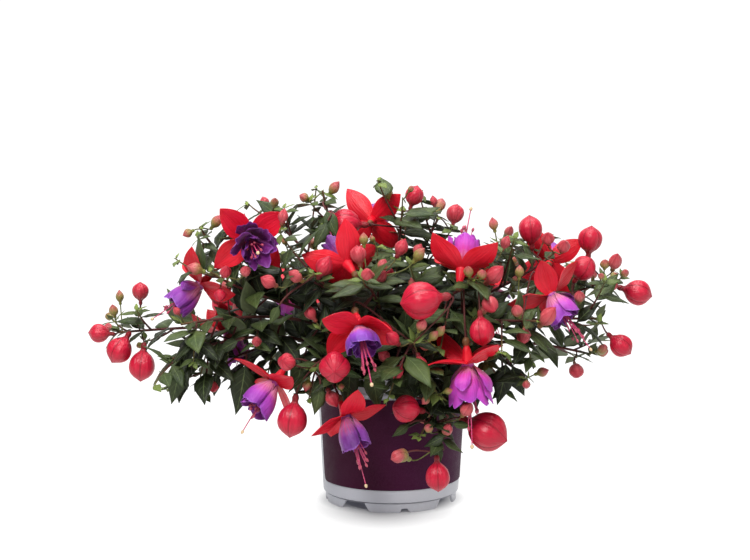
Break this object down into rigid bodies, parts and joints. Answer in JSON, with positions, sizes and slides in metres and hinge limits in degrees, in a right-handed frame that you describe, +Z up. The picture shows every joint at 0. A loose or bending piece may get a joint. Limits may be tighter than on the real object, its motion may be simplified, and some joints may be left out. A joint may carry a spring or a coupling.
{
  "type": "potted fuchsia",
  "caption": "Bushy double-flowered fuchsia in a round plastic nursery pot with a plain purple label band; red sepals and buds, violet corollas, drooping leafy stems.",
  "frame": {"origin": "centre of the flat pad under the pot, on the surface that the pot stands on", "axes": "+Z up along the pot's axis; -Y is the front, the side that the picture shows; +X to the right of it"},
  "size_m": [0.4454, 0.3191, 0.2504],
  "materials": {
    "pot_plastic": "satin moulded plastic",
    "label_print": "satin printed paper",
    "soil": "rough peat",
    "foliage": "dark green satin leaf, red-brown stem, crimson bud",
    "calyx_red": "waxy petal",
    "corolla_violet": "soft satin petal"
  },
  "bodies": {
    "root": {"pot": "pot_plastic", "label": "label_print", "soil": "soil", "bloom_upper_left_calyx": "calyx_red", "bloom_upper_left_corolla": "corolla_violet", "bloom_left_calyx": "calyx_red", "bloom_left_corolla": "corolla_violet", "bloom_low_left_calyx": "calyx_red", "bloom_low_left_corolla": "corolla_violet", "bloom_front_mid_calyx": "calyx_red", "bloom_front_mid_corolla": "corolla_violet", "bloom_front_low_calyx": "calyx_red", "bloom_front_low_corolla": "corolla_violet", "bloom_front_right_calyx": "calyx_red", "bloom_front_right_corolla": "corolla_violet", "bloom_right_calyx": "calyx_red", "bloom_right_corolla": "corolla_violet", "bloom_upper_right_calyx": "calyx_red", "bloom_upper_right_corolla": "corolla_violet", "bloom_upper_mid_calyx": "calyx_red", "bloom_upper_mid_corolla": "corolla_violet", "bloom_top_calyx": "calyx_red", "bloom_top_corolla": "corolla_violet", "bloom_right_back_calyx": "calyx_red", "bloom_right_back_corolla": "corolla_violet", "bloom_inner_left_calyx": "calyx_red", "bloom_inner_left_corolla": "corolla_violet", "bloom_back_left_calyx": "calyx_red", "bloom_back_left_corolla": "corolla_violet", "bloom_back_right_calyx": "calyx_red", "bloom_back_right_corolla": "corolla_violet", "stem_left_far": "foliage", "stem_left_upper": "foliage", "stem_left_mid": "foliage", "stem_left_low": "foliage", "stem_left_hanging": "foliage", "stem_top_left": "foliage", "stem_top_back_left": "foliage", "stem_top_mid": "foliage", "stem_top_right": "foliage", "stem_right_top": "foliage", "stem_right_far": "foliage", "stem_right_mid": "foliage", "stem_right_low": "foliage", "stem_right_front": "foliage", "stem_right_hanging": "foliage", "stem_front_right": "foliage", "stem_front_mid": "foliage", "stem_front_left": "foliage", "stem_left_front": "foliage", "stem_front_low_left": "foliage", "stem_front_low": "foliage", "stem_front_hanging": "foliage", "stem_back_left": "foliage", "stem_back_left_low": "foliage", "stem_back_mid": "foliage", "stem_back_right_low": "foliage", "stem_back_right": "foliage"}
  },
  "joints": []
}
